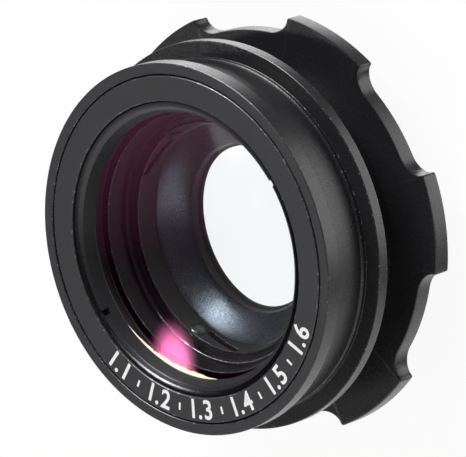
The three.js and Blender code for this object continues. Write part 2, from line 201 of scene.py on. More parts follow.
def finishPiece(piece, finishes, body, node, sharpAbove=32):
    # smooth shading with true flats, then the finishes, the body and the node that it stands for
    piece.data.shade_smooth()
    piece.data.set_sharp_from_angle(angle=math.radians(sharpAbove))
    piece.modifiers.new("trueFlats", "WEIGHTED_NORMAL").keep_sharp = True
    places = [face.material_index for face in piece.data.polygons]
    piece.data.materials.clear()
    for finish in finishes:
        piece.data.materials.append(finish)
    piece.data.polygons.foreach_set("material_index", [min(place, len(finishes) - 1) for place in places])
    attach(piece, body)
    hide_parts(node)


# the camera comes from a fit to the photo's ellipses; lamp directions use its axes

camera = {"place": (340.20, 0.56, 363.19), "right": (0.68406, -0.30885, -0.66082),
          "up": (0.22213, 0.95111, -0.21458), "lens": 358.65, "sensor": 36.0, "clip": (0.01, 20)}
photoRight = Vector(camera["right"]).normalized()
photoUp = (Vector(camera["up"]) - photoRight * photoRight.dot(Vector(camera["up"]))).normalized()
photoBack = photoRight.cross(photoUp)  # towards the camera


def photoDirection(right, up, back):
    return (photoRight * right + photoUp * up + photoBack * back).normalized()


cameraObject = bpy.data.objects.new("camera", bpy.data.cameras.new("camera"))
bpy.context.scene.collection.objects.link(cameraObject)
cameraObject.data.lens, cameraObject.data.sensor_width = camera["lens"], camera["sensor"]
cameraObject.data.clip_start, cameraObject.data.clip_end = camera["clip"]
aim = Matrix((photoRight, photoUp, photoBack)).transposed()
cameraObject.matrix_world = Matrix.Translation(Vector(camera["place"]) * mm) @ aim.to_4x4()
bpy.context.scene.camera = cameraObject
bpy.context.scene.view_settings.view_transform = "Standard"
print("camera set")


blasting = {"cloudSize": 5, "cloudGain": 1.3, "nickSize": 0.35, "nickLevel": 0.7, "beadHeight": 0.03,
            "bareMetal": "#c8c9cc"}  # sizes in mm


def blastedAluminium(name, colour, roughness, grain, depth, wear=0.0, shine=0.5, tint="#ffffff", ior=1.5):
    # aluminium blasted with fine glass beads, then anodised black: a satin sheen that
    # breaks into tiny sparks where a lamp grazes it, and bare metal in nicks along edges;
    # the bead marks are about 0.05 mm on the real part and are drawn coarser to show
    material = newMaterial(name)
    place = addNode(material, "ShaderNodeTexCoord").outputs["Object"]
    beads = addNode(material, "ShaderNodeTexNoise", {"Vector": place},
                    Scale=1 / (grain * mm), Detail=3.0, Roughness=0.65)
    cloud = addNode(material, "ShaderNodeTexNoise", {"Vector": place},
                    Scale=1 / (blasting["cloudSize"] * mm), Detail=2.0)
    nicks = addNode(material, "ShaderNodeTexNoise", {"Vector": place},
                    Scale=1 / (blasting["nickSize"] * mm), Detail=4.0, Roughness=0.7)
    level = blasting["nickLevel"] - wear * 0.2  # more wear bares more of the noise
    bare = addNode(material, "ShaderNodeMapRange", {
        "Value": nicks.outputs["Fac"], "From Min": level - 0.02, "From Max": level + 0.02,
        "To Max": min(wear, 1.0)})
    rough = addNode(material, "ShaderNodeMapRange", {
        "Value": beads.outputs["Fac"], "From Min": 0.3, "From Max": 0.7,
        "To Min": roughness - 0.1, "To Max": roughness + 0.1})
    shade = addNode(material, "ShaderNodeMix", {
        "Factor": cloud.outputs["Fac"], 6: toLinear(colour), 7: toLinear(colour, blasting["cloudGain"])},
        data_type="RGBA")
    skin = addNode(material, "ShaderNodeMix", {
        "Factor": bare.outputs["Result"], 6: shade.outputs[2], 7: toLinear(blasting["bareMetal"])},
        data_type="RGBA")
    bump = addNode(material, "ShaderNodeBump", {"Height": beads.outputs["Fac"]},
                   Strength=depth, Distance=blasting["beadHeight"] * mm)
    surface = addNode(material, "ShaderNodeBsdfPrincipled", {
        "Base Color": skin.outputs[2], "Roughness": rough.outputs["Result"], "Normal": bump.outputs["Normal"],
        "Metallic": bare.outputs["Result"], "Specular IOR Level": shine, "Specular Tint": toLinear(tint)},
        IOR=ior)
    addNode(material, "ShaderNodeOutputMaterial", {"Surface": surface.outputs["BSDF"]})
    return material


# outside: an even satin that hands have rubbed lighter along the edges
outerAnodised = [blastedAluminium("blastedAnodisedAluminium", "#18181a", 0.31, 0.17, 0.5),
                 blastedAluminium("rubbedAnodisedEdge", "#232325", 0.26, 0.2, 0.3, 0.4)]
# painted light: the flats that face the eye are drawn a shade lighter, for the light that falls on them
paintedLightFlatAnodised = blastedAluminium("blastedAnodisedPaintedLightFlat", "#1d1d1f", 0.31, 0.17, 0.5)
# round the eye: a finer blast, so a smoother and greyer face
faceAnodised = [blastedAluminium("satinAnodisedAluminium", "#28282a", 0.4, 0.12, 0.15),
                blastedAluminium("rubbedSatinEdge", "#2f2f31", 0.26, 0.2, 0.3, 0.5)]
# under the eyecup: the coarsest blast, so the neck sparkles most
neckAnodised = blastedAluminium("coarseBlastedAluminium", "#1a1a1c", 0.33, 0.2, 1.0)
# inside: dull, so that the walls give next to no light back
innerAnodised = [blastedAluminium("matteAnodisedAluminium", "#0b0b0d", 0.45, 0.12, 0.02, shine=0.2),
                 blastedAluminium("rubbedMatteEdge", "#2a2529", 0.3, 0.2, 0.3, 0.4)]
# rubbed edges: a thin light line of bare metal, broken where the black is still on; part wear and
# part painted highlight, since that black is drawn a lighter purple-grey and the barrel's ledge gets it only on
# the arc that catches the light
ledgeWearAndHighlight = blastedAluminium("rubbedLedgeEdgeAndHighlight", "#4a3f47", 0.25, 0.2, 0.3, 0.95)
# painted shade: the track's bottom drawn the deepest black of the part, with no shine
paintedShadeGroove = blastedAluminium("paintedShadeGrooveBlack", "#050506", 0.6, 0.3, 0.0, shine=0.0)
# a turned and lightly blasted funnel: the hard oxide skin mirrors the lamps, and the cool blue
# of its sheen is a painted tint on the reflection
funnelAnodisedPaintedTint = blastedAluminium("satinFunnelAluminiumPaintedTint", "#0e0e10", 0.29, 0.1, 0.3,
                                  shine=0.85, tint="#dfebff", ior=1.76)


glass = {"ior": 1.52, "tint": "#fefdfe", "chipSize": 0.25}


def coatedGlass(name, coating):
    # ground and polished crown glass; its anti-reflection coating mirrors little, and
    # that little is red to magenta on the eye side; light from the lamps passes it unbent
    material = newMaterial(name)
    path = addNode(material, "ShaderNodeLightPath")
    surface = addNode(material, "ShaderNodeBsdfPrincipled", {
        "Base Color": toLinear(glass["tint"]), "Transmission Weight": 1.0,
        "Specular Tint": toLinear(coating)}, Roughness=0.0, IOR=glass["ior"])
    clear = addNode(material, "ShaderNodeBsdfTransparent", Color=toLinear(glass["tint"]))
    both = addNode(material, "ShaderNodeMixShader", {
        0: path.outputs["Is Shadow Ray"], 1: surface.outputs[0], 2: clear.outputs[0]})
    addNode(material, "ShaderNodeOutputMaterial", {"Surface": both.outputs[0]})
    return material


def groundGlass(name, colour, low, paintedGlow):
    # the lens edge is ground, not polished: rough glass with a painted glow, an emission that
    # stands in for the light led through the glass that comes out at the chips
    material = newMaterial(name)
    place = addNode(material, "ShaderNodeTexCoord").outputs["Object"]
    chipped = addNode(material, "ShaderNodeTexNoise", {"Vector": place},
                      Scale=1 / (glass["chipSize"] * mm), Detail=3.0)
    amount = addNode(material, "ShaderNodeMapRange", {
        "Value": chipped.outputs["Fac"], "From Min": 0.36, "From Max": 0.46})
    shade = addNode(material, "ShaderNodeMix", {
        "Factor": amount.outputs["Result"], 6: toLinear(low), 7: toLinear(colour)}, data_type="RGBA")
    surface = addNode(material, "ShaderNodeBsdfPrincipled", {
        "Base Color": shade.outputs[2], "Emission Color": toLinear(colour), "Emission Strength": paintedGlow},
        Roughness=0.45, IOR=glass["ior"])
    addNode(material, "ShaderNodeOutputMaterial", {"Surface": surface.outputs["BSDF"]})
    return material


eyeCoating = coatedGlass("coatedCrownGlass", "#ff5cb4")
rearCoating = coatedGlass("greenCoatedCrownGlass", "#0c241a")
paintedGlowChipEdge = groundGlass("paintedGlowGroundGlassEdge", "#fff8e6", "#b3a48c", 0.32)  # painted glow: the chips drawn bright, glowing as if lit through the glass
paintedShadeFrostedEdge = groundGlass("paintedShadeFrostedGlassEdge", "#6b6259", "#2c2926", 0.0)  # painted shade: the same ground glass drawn grey, away from the light
paintedGlowFringeEdge = groundGlass("paintedGlowFringeGlassEdge", "#ffb04a", "#6a2c12", 0.12)  # painted glow: an orange fringe of light drawn beside the chips


def plainFinish(name, colour, roughness, metallic, grain):
    # a turned or moulded surface with a slight unevenness of colour and gloss
    material = newMaterial(name)
    place = addNode(material, "ShaderNodeTexCoord").outputs["Object"]
    marks = addNode(material, "ShaderNodeTexNoise", {"Vector": place}, Scale=1 / (grain * mm), Detail=3.0)
    rough = addNode(material, "ShaderNodeMapRange", {
        "Value": marks.outputs["Fac"], "To Min": roughness - 0.08, "To Max": roughness + 0.08})
    shade = addNode(material, "ShaderNodeMix", {
        "Factor": marks.outputs["Fac"], 6: toLinear(colour), 7: toLinear(colour, 0.8)}, data_type="RGBA")
    bump = addNode(material, "ShaderNodeBump", {"Height": marks.outputs["Fac"]},
                   Strength=0.15, Distance=0.02 * mm)
    surface = addNode(material, "ShaderNodeBsdfPrincipled", {
        "Base Color": shade.outputs[2], "Roughness": rough.outputs["Result"],
        "Normal": bump.outputs["Normal"]}, Metallic=metallic)
    addNode(material, "ShaderNodeOutputMaterial", {"Surface": surface.outputs["BSDF"]})
    return material


turnedSteel = [plainFinish("turnedSteel", "#b4b6b8", 0.28, 1.0, 0.3)]  # bright metal
bluedSteel = [plainFinish("bluedSteel", "#555c55", 0.4, 1.0, 0.3), turnedSteel[0]]  # grey-green
paintedShadeSteel = [plainFinish("paintedShadeSteel", "#232422", 0.5, 1.0, 0.3)]  # painted shade: the pins in the dark half drawn nearly black
turnedBrass = [plainFinish("turnedBrass", "#c2a15c", 0.34, 1.0, 0.3)]  # soft yellow
blackNylon = [plainFinish("blackNylon", "#1c1c1d", 0.55, 0.0, 0.5)]  # waxy black
blackPaint = plainFinish("matteBlackPaint", "#0b0b0b", 0.7, 0.0, 0.1)  # swallows stray light at the edges
whiteInk = plainFinish("screenPrintedInk", "#f4f4f2", 0.5, 0.0, 0.2)  # flat, even white
ringAnodised = [plainFinish("turnedAnodisedRing", "#232325", 0.3, 0.0, 0.3),  # smooth, so it mirrors softly
                blastedAluminium("rubbedTurnedEdge", "#232325", 0.22, 0.2, 0.1, 0.2),
                plainFinish("burnishedBevel", "#4c4c4f", 0.13, 1.0, 0.3)]  # a thin bright line
print("finishes made")


# fixed barrel: flange, shoulder, channel for the hub, cup for the lens

barrel = {"bore": 13.3, "radius": 14.6, "rearBore": 11.5, "foot": 1.9, "endTop": 3.1, "channel": 17.05,
          "channelTop": 12.67, "flange": 20.94, "flangeFoot": 11.0, "flangeTop": 12.35, "shoulder": 19.18,
          "shoulderTop": 12.84, "spigot": 17.2, "spigotTop": 14.9, "cup": 15.3, "seat": 13.27, "edge": 0.15,
          "ledge": 13.8, "ledgeOuter": 14.2, "ledgeTop": 12.5, "ledgeFoot": 11.8, "ledgeWornLitArc": (120, 245)}
pin = {"count": 3, "first": 224, "height": 10.68, "radius": 0.55, "lead": 21.6, "forward": 0.6,
       "backward": 2.22, "slotHalf": 0.95, "slotPast": 0.4, "holeFrom": 12.0, "holeTo": 14.0, "play": 0.05}
screw = {"count": 3, "first": 30, "circle": 13.5, "radius": 0.6, "head": 0.95, "headFoot": 0.1,
         "headTop": 0.8, "tip": 2.9, "tapFoot": 1.5, "tapTop": 3.0, "tapPlay": 0.05, "holePlay": 0.1,
         "cross": 0.55, "crossHalf": 0.11, "crossDepth": 0.42, "crossAngle": 0.4}
pinAngles, screwAngles = spread(pin), spread(screw)


def slotCutter(angle, travelSteps=60, acrossSteps=48, overlap=0.001):
    # a slanted slot with round ends, on the barrel's curve: the room that a bush sweeps
    inner, outer = barrel["bore"] - pin["slotPast"], barrel["radius"] + pin["slotPast"]
    half = pin["slotHalf"]
    middle = (barrel["bore"] + barrel["radius"]) / 2
    perTravel = 2 * math.pi / pin["lead"] * middle
    centres = []
    for step in range(travelSteps + 1):
        travel = step * (pin["forward"] + pin["backward"]) / travelSteps - pin["backward"]
        centres.append((travel * perTravel, pin["height"] + travel))
    low, high = centres[0][0] - half, centres[-1][0] + half
    sections = []
    for step in range(acrossSteps + 1):
        across = low + (high - low) * (0.5 - math.cos(math.pi * step / acrossSteps) / 2)
        reach = [(height, math.sqrt(max(half ** 2 - (across - side) ** 2, 0))) for side, height in centres
                 if abs(across - side) <= half + 1e-9]
        foot = min(height - rise for height, rise in reach)
        top = max(height + rise for height, rise in reach)
        sections.append(barSection(angle + across / middle, inner, outer, foot - overlap, top + overlap))
    return bentBar("slotCutter", sections)


barrelPiece = turned("fixed_barrel", [
    (barrel["rearBore"], barrel["foot"]), (barrel["radius"], barrel["foot"]),
    (barrel["radius"], barrel["channelTop"]), (barrel["channel"], barrel["channelTop"]),
    (barrel["channel"], barrel["flangeFoot"], 0.1), (barrel["flange"], barrel["flangeFoot"], barrel["edge"]),
    (barrel["flange"], barrel["flangeTop"], barrel["edge"]), (barrel["shoulder"], barrel["flangeTop"], 0.08),
    (barrel["shoulder"], barrel["shoulderTop"], 0.12), (barrel["spigot"], barrel["shoulderTop"]),
    (barrel["spigot"], barrel["spigotTop"]), (barrel["cup"], barrel["spigotTop"]),
    (barrel["cup"], barrel["seat"]), (barrel["ledgeOuter"], barrel["seat"]),
    (barrel["ledgeOuter"], barrel["ledgeTop"]), (barrel["ledge"], barrel["ledgeTop"], 0.08),
    (barrel["ledge"], barrel["ledgeFoot"]), (barrel["bore"], barrel["ledgeFoot"]),
    (barrel["bore"], barrel["endTop"]), (barrel["rearBore"], barrel["endTop"])])
# painted highlight: only this arc of the ledge's edge is bared and lightened, where the light catches it
litArcFrom, litArcTo = barrel["ledgeWornLitArc"]
for face in barrelPiece.data.polygons:
    # finishes 0 and 1 outside, 2 and 3 inside, 4 flats towards the eye, drawn lighter as painted light, 5 the
    # ledge's worn edge, with a painted highlight
    across, height = fromAxis(face.center), face.center.z / mm
    if face.material_index == 1 and across < barrel["ledge"] + 0.1:
        face.material_index = 5 if litArcFrom < bearingOf(face.center) < litArcTo else 2
    elif across < barrel["ledgeOuter"] + 0.05 and height > barrel["endTop"] + 0.1:
        face.material_index += 2
    elif face.material_index == 0 and face.normal.z > 0.9 and height > barrel["flangeTop"] - 0.01:
        face.material_index = 4
carve(barrelPiece, [slotCutter(angle) for angle in pinAngles] + [
    uprightRod("tapCutter", screw["radius"] + screw["tapPlay"], screw["circle"], angle,
               screw["tapFoot"], screw["tapTop"]) for angle in screwAngles])
finishPiece(barrelPiece, [*outerAnodised, *innerAnodised, paintedLightFlatAnodised, ledgeWearAndHighlight],
            "housing", "barrel")
print("barrel made")


# eye ring: rim, then the hollow neck that a rubber eyecup grips

eyeRing = {"foot": 12.84, "neck": 19.0, "neckFoot": 13.1, "fillet": 0.1, "flare": 19.75, "flareFoot": 16.6,
           "neckTop": 17.3, "rim": 19.9, "rimFoot": 17.4, "top": 19.2, "recess": 18.7, "recessFloor": 17.6,
           "edge": 0.14, "ringBore": 15.78, "ringSeat": 17.15, "lensBore": 15.3, "thread": 17.25,
           "threadTop": 15.0}
neckCurve = []
for step in range(1, 8):
    share = step / 8
    neckCurve.append((eyeRing["neck"] + eyeRing["fillet"] * (1 - share) ** 2,
                      eyeRing["foot"] + (eyeRing["neckFoot"] - eyeRing["foot"]) * share))
for step in range(13):
    share = step / 12
    hollow = (1 + math.cos(math.pi * share)) / 2
    neckCurve.append((eyeRing["flare"] - (eyeRing["flare"] - eyeRing["neck"]) * hollow,
                      eyeRing["flareFoot"] + (eyeRing["neckTop"] - eyeRing["flareFoot"]) * share))
eyeRingPiece = turned("eye_ring_rim", [
    (eyeRing["thread"], eyeRing["foot"]), (eyeRing["neck"] + eyeRing["fillet"], eyeRing["foot"]), *neckCurve,
    (eyeRing["rim"], eyeRing["rimFoot"], 0.08), (eyeRing["rim"], eyeRing["top"], eyeRing["edge"]),
    (eyeRing["recess"], eyeRing["top"], eyeRing["edge"]), (eyeRing["recess"], eyeRing["recessFloor"]),
    (eyeRing["ringBore"], eyeRing["recessFloor"]), (eyeRing["ringBore"], eyeRing["ringSeat"]),
    (eyeRing["lensBore"], eyeRing["ringSeat"]), (eyeRing["lensBore"], eyeRing["threadTop"]),
    (eyeRing["thread"], eyeRing["threadTop"])], segments=240)
for face in eyeRingPiece.data.polygons:
    # finish 2 on the rim's face, 3 on the neck
    height = face.center.z / mm
    if face.material_index == 0 and height > eyeRing["top"] - 0.01:
        face.material_index = 2
    elif eyeRing["foot"] < height < eyeRing["rimFoot"] and fromAxis(face.center) > eyeRing["neck"] - 0.1:
        face.material_index = 3
finishPiece(eyeRingPiece, [*outerAnodised, faceAnodised[0], neckAnodised],
            "housing", "eye_ring")

nameRing = {"bore": 15.84, "radius": 18.55, "foot": 17.6, "top": 19.19, "edge": 0.14}
nameRingPiece = turned("scale_ring", [
    (nameRing["bore"], nameRing["foot"]), (nameRing["radius"], nameRing["foot"]),
    (nameRing["radius"], nameRing["top"], nameRing["edge"]),
    (nameRing["bore"], nameRing["top"], nameRing["edge"])], segments=240)
finishPiece(nameRingPiece, faceAnodised, "housing", "name_ring")

retainer = {"clear": 14.3, "radius": 15.74, "foot": 17.3, "rimTop": 18.93, "lip": 14.83, "lipTop": 18.6,
            "crest": 15.2, "crestTop": 18.834, "notchWidth": 0.7, "notchDepth": 0.5, "notchAngle": 14.5,
            "notchInner": 13.9, "notchTop": 19.4}
retainingPiece = turned("lens_retaining_ring", [
    (retainer["clear"], retainer["foot"]), (retainer["radius"], retainer["foot"]),
    (retainer["radius"], retainer["rimTop"], 0.04), (retainer["crest"], retainer["crestTop"], 0.04),
    (retainer["lip"], retainer["lipTop"], 0.1)])
carve(retainingPiece, notchCutters(
    retainer, (retainer["notchInner"], retainer["lipTop"] - retainer["notchDepth"]),
    (retainer["lip"] + retainer["notchDepth"], retainer["notchTop"])))
for face in retainingPiece.data.polygons:
    if face.normal.z > 0.9 and fromAxis(face.center) > retainer["crest"]:
        face.material_index = 2  # the burnished bevel
finishPiece(retainingPiece, ringAnodised, "housing", "front_retaining_ring", sharpAbove=15)
print("eye side rings made")


# printed scale: plain zoom numbers with ticks between them, on the ring's lower arc

scale = {"numbers": ["1.1", "1.2", "1.3", "1.4", "1.5", "1.6"], "radius": 17.25, "height": 2.05,
         "capShare": 0.7, "bold": 0.06, "first": 246, "last": 126, "spots": (-1.1, -0.15, 1.0),
         "widthShare": 0.92, "inkTop": 19.2, "inkDepth": 0.01, "tickFoot": 19.185, "tickWidth": 0.26,
         "tickLength": 0.8}


def onScale(bearing):
    # bearings run clockwise from +Y, as the eye sees the ring
    return math.radians(90 - bearing)


inked = []
numberStep = (scale["last"] - scale["first"]) / len(scale["numbers"])
for place, number in enumerate(scale["numbers"]):
    centre = scale["first"] + numberStep * (place + 0.5)
    for spot, character in zip(scale["spots"], number):
        letters = bpy.data.curves.new("scaleNumber", "FONT")
        letters.body, letters.align_x, letters.align_y = character, "CENTER", "CENTER"
        letters.size, letters.extrude = scale["height"] / scale["capShare"] * mm, scale["inkDepth"] * mm
        letters.offset = scale["bold"] * mm
        glyph = bpy.data.objects.new("scaleNumber", letters)
        bpy.context.scene.collection.objects.link(glyph)
        bearing = onScale(centre) + spot / scale["radius"]
        foot = Vector(polar(scale["radius"], bearing, scale["inkTop"] - scale["inkDepth"])) * mm
        glyph.matrix_world = (Matrix.Translation(foot) @ Matrix.Rotation(bearing + math.pi / 2, 4, "Z")
                              @ Matrix.Diagonal((scale["widthShare"], 1, 1, 1)))
        inked.append(glyph)
    if number != scale["numbers"][-1]:
        inner, half = scale["radius"] - scale["tickLength"] / 2, scale["tickWidth"] / 2
        inked.append(block("scaleTick", (inner, -half, scale["tickFoot"]),
                           (inner + scale["tickLength"], half, scale["inkTop"]),
                           onScale(centre + numberStep / 2)))
bpy.context.view_layer.update()
points, faces = [], []
for mark in inked:
    shape = bpy.data.meshes.new_from_object(mark.evaluated_get(bpy.context.evaluated_depsgraph_get()))
    first = len(points)
    points += [mark.matrix_world @ corner.co / mm for corner in shape.vertices]
    faces += [[first + corner for corner in face.vertices] for face in shape.polygons]
for mark in inked:
    bpy.data.objects.remove(mark)
scalePiece = newPiece("printed_scale", points, faces)
scalePiece.data.materials.append(whiteInk)
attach(scalePiece, "housing")
print("scale printed")


# lenses: one curved face each, a flat land round it, bevels and a blackened edge; the rings
# are steps inwards from the land, and the chips fade in and out over so many degrees

# the glow of the chips, the orange fringe beside them and the grey arc of the rim are painted light and shade
lensRim = {"bevel": 0.15, "rings": (0, 0.1, 0.17), "paintedShadeFrostArc": (240, 300), "fringeReach": 0.8,
           "fringeWidth": 0.25, "fadeIn": 14, "fadeOut": 28, "inset": 0.03, "chipWidth": 0.42,
           "chipRagged": 0.1, "secondInset": 0.01, "secondWidth": 0.11}


def lensHeight(lens, across):
    rise = math.sqrt(lens["curve"] ** 2 - across ** 2) - math.sqrt(lens["curve"] ** 2 - lens["land"] ** 2)
    return lens["edgeTop"] + lens["direction"] * rise


def lensOutline(lens, rings=14):
    radius, foot, edgeTop, bevel = lens["radius"], lens["foot"], lens["edgeTop"], lensRim["bevel"]
    steps = [lens["land"] - inwards for inwards in lensRim["rings"]]
    steps += [steps[-1] * (1 - ring / rings) for ring in range(1, rings + 1)]
    return [(0, foot), (lens["rearLand"], foot), (radius - bevel, foot), (radius, foot + bevel),
            (radius, edgeTop - bevel), (radius - bevel, edgeTop),
            *[(across, lensHeight(lens, across)) for across in steps]]


def finishLens(piece, lens, coatings, body, node):
    # finish 0 is the eye side, 1 the camera side, 2 the blackened edge; the rim has 3 where
    # it is chipped, a painted glow, 4 beside the chips, a painted orange fringe of glow, and 5 a grey arc of
    # painted shade
    finishPiece(piece, [*coatings, blackPaint, paintedGlowChipEdge, paintedGlowFringeEdge, paintedShadeFrostedEdge],
                body, node, sharpAbove=12)
    land, (chipsFrom, chipsTo), (shadedFrostFrom, shadedFrostTo) = lens["land"], lens["chips"], lensRim["paintedShadeFrostArc"]
    middle = (lens["foot"] + lens["edgeTop"]) / 2 * mm
    for corner in piece.data.vertices:
        across, bearing = fromAxis(corner.co), bearingOf(corner.co)
        if corner.co.z < middle or not 0.05 < land - across < 0.2:
            continue  # only the first two rings inside the land are nibbled
        wide = min(1.0, (bearing - chipsFrom) / lensRim["fadeIn"], (chipsTo - bearing) / lensRim["fadeOut"])
        wide = max(0.0, wide)
        ragged = math.sin(bearing * 2.3) * math.sin(bearing * 1.1 + 1) + 0.5 * math.sin(bearing * 5.7)
        inset = lensRim["inset"] + wide * (lensRim["chipWidth"] + lensRim["chipRagged"] * ragged)
        if land - across > 0.12:
            inset += lensRim["secondInset"] + lensRim["secondWidth"] * wide
        corner.co.xy *= (land - inset) / across
        corner.co.z = lensHeight(lens, land - inset) * mm
    for face in piece.data.polygons:
        across = [fromAxis(piece.data.vertices[corner].co) for corner in face.vertices]
        bearing = bearingOf(face.center)
        onEyeSide, chipped = face.center.z > middle, chipsFrom < bearing < chipsTo
        if abs(face.normal.z) < 0.5 or max(across) > lens["land" if onEyeSide else "rearLand"] + 0.01:
            face.material_index = 2
        elif not onEyeSide:
            face.material_index = 1
        elif max(across) > land - 0.001:
            face.material_index = 3 if chipped else 5 if shadedFrostFrom < bearing < shadedFrostTo else 2
        elif (chipped and min(across) > land - lensRim["fringeReach"]
              and max(across) - min(across) < lensRim["fringeWidth"]):
            face.material_index = 4
        else:
            face.material_index = 0


eyeLens = {"radius": 15.2, "land": 14.3, "rearLand": 14.3, "foot": 14.3, "edgeTop": 17.3, "curve": 80,
           "direction": -1, "chips": (192, 246)}
eyeLensPiece = turned("eye_lens_glass", lensOutline(eyeLens), segments=360)
finishLens(eyeLensPiece, eyeLens, [eyeCoating, rearCoating], "housing", "eye_lens")
carrierLens = {"radius": 10.6, "land": 9.95, "rearLand": 10.1, "foot": 2.92, "edgeTop": 3.92, "curve": 40,
               "direction": 1, "chips": (0, 0)}
carrierLensPiece = turned("moving_lens_glass", lensOutline(carrierLens), segments=240)
finishLens(carrierLensPiece, carrierLens, [rearCoating, rearCoating], "lens_carrier", "carrier_lens")

spacer = {"bore": 14.2, "radius": 15.2, "foot": 13.27, "top": 14.3, "edge": 0.08}
spacerPiece = turned("lens_spacer_ring", [
    (spacer["bore"], spacer["foot"]), (spacer["radius"], spacer["foot"]), (spacer["radius"], spacer["top"]),
    (spacer["bore"], spacer["top"], spacer["edge"])])
finishPiece(spacerPiece, innerAnodised, "housing", "lens_spacer")


# moving lens cell: a tube for the lens, a skirt that runs in the barrel, a funnel between

carrier = {"clear": 9.95, "tubeBore": 10.65, "tube": 11.4, "rear": 2.32, "lensFront": 3.92, "shelf": 4.22,
           "shelfOuter": 10.2, "funnelFoot": 4.6, "funnelTop": 9.9, "glossFoot": 5.8, "glossTop": 9.1,
           "skirtFoot": 5.42, "skirt": 13.2, "skirtBore": 12.95, "skirtTop": 11.63,
           "curveStart": 0.15, "curveLength": 0.63, "curveEase": 0.25, "curveLean": 0.03}
funnelCurve = []
for step in range(33):
    share = step / 32
    drawIn = max(0.0, min(1.0, (share - carrier["curveStart"]) / carrier["curveLength"]))
    eased = drawIn * drawIn * (3 - 2 * drawIn)
    drawIn = (1 - carrier["curveEase"]) * drawIn + carrier["curveEase"] * eased
    drawIn = carrier["curveLean"] * share + (1 - carrier["curveLean"]) * drawIn
    funnelCurve.append((carrier["skirtBore"] + (carrier["shelfOuter"] - carrier["skirtBore"]) * drawIn,
                        carrier["funnelTop"] + (carrier["funnelFoot"] - carrier["funnelTop"]) * share))
carrierPiece = turned("moving_lens_cell", [
    (carrier["tubeBore"], carrier["rear"]), (carrier["tube"], carrier["rear"]),
    (carrier["tube"], carrier["skirtFoot"]), (carrier["skirt"], carrier["skirtFoot"]),
    (carrier["skirt"], carrier["skirtTop"], 0.08), (carrier["skirtBore"], carrier["skirtTop"], 0.06),
    *funnelCurve,
    (carrier["clear"], carrier["shelf"], 0.06), (carrier["clear"], carrier["lensFront"]),
    (carrier["tubeBore"], carrier["lensFront"])], segments=240)
for face in carrierPiece.data.polygons:
    # finishes 0 and 1 inside, 2 the funnel, with a painted blue tint on its sheen, 3 paint round the lens, and
    # in the tracks 4, the worn walls with a painted highlight, and 5, painted shade at the bottom
    across, height = fromAxis(face.center), face.center.z / mm
    # the shinier funnel finish, with its painted tint, goes only on the band that faces the key lamp
    if across < carrier["skirtBore"] and carrier["glossFoot"] < height < carrier["glossTop"]:
        face.material_index = 2
    elif across < carrier["shelfOuter"] + 0.1 and height < carrier["funnelFoot"] + 0.3:
        face.material_index = 3

track = {"start": 5, "sweep": 25, "middle": 9.9, "climb": 1.3, "inner": 12.7, "outer": 13.1, "below": 0.5,
         "above": 0.45}


def trackCutter(angle, steps=24):
    # the worn track beside each pin, a shallow groove that climbs to the skirt's edge: its
    # upper and lower walls are rubbed bare, with a painted highlight, and its bottom is painted shade, the
    # deepest black
    sections = []
    for step in range(steps + 1):
        share = step / steps
        bend = angle + math.radians(track["start"] + track["sweep"] * share)
        middle = track["middle"] + track["climb"] * share ** 1.5
        sections.append(barSection(bend, track["inner"], track["outer"],
                                   middle - track["below"], middle + track["above"]))
    cutter = bentBar("trackCutter", sections)
    for face in cutter.data.polygons:
        face.material_index = 4 if abs(face.normal.z) > 0.5 else 5
    return cutter


carve(carrierPiece, [trackCutter(angle) for angle in pinAngles])
carve(carrierPiece, [rod("pinHole", pin["radius"] + pin["play"], polar(pin["holeFrom"], angle, pin["height"]),
                         polar(pin["holeTo"], angle, pin["height"])) for angle in pinAngles])
finishPiece(carrierPiece, [*innerAnodised, funnelAnodisedPaintedTint, blackPaint, ledgeWearAndHighlight, paintedShadeGroove],
            "lens_carrier", "lens_carrier")

cellRing = {"bore": 10.3, "radius": 10.6, "foot": 2.62, "top": 2.92, "edge": 0.05, "notchWidth": 0.7,
            "notchAngle": 14.5, "notchFrom": (10.0, 2.4), "notchTo": (11.0, 2.77)}
cellRingPiece = turned("moving_cell_retaining_ring", [
    (cellRing["bore"], cellRing["foot"], cellRing["edge"]), (cellRing["radius"], cellRing["foot"]),
    (cellRing["radius"], cellRing["top"]), (cellRing["bore"], cellRing["top"])])
carve(cellRingPiece, notchCutters(cellRing, cellRing["notchFrom"], cellRing["notchTo"]))
finishPiece(cellRingPiece, innerAnodised, "lens_carrier", "carrier_retaining_ring")
print("lenses and cells made")


# pins through slots and keyways: a flat, chamfered end stands just proud of the skirt; the
# first pin, in the bright half of the funnel, is blued steel, and the other two get painted shade, nearly black

pinEnds = {"tip": 12.62, "flat": (0.62, 12.66), "chamfer": (0.86, 12.8, 0.1), "collar": 0.88, "head": 0.78,
           "headFoot": 15.55, "headTop": 15.9, "edge": 0.08}
bush = {"bore": 0.6, "radius": 0.9, "inner": 13.25, "outer": 15.5, "edge": 0.06}


def layRadially(piece, angle):
    # drawn upright on the axis, then laid outwards at the height of the pins
    piece.data.transform(Matrix.Translation((0, 0, pin["height"] * mm)) @ Matrix.Rotation(angle, 4, "Z")
                         @ Matrix.Rotation(math.pi / 2, 4, "Y"))


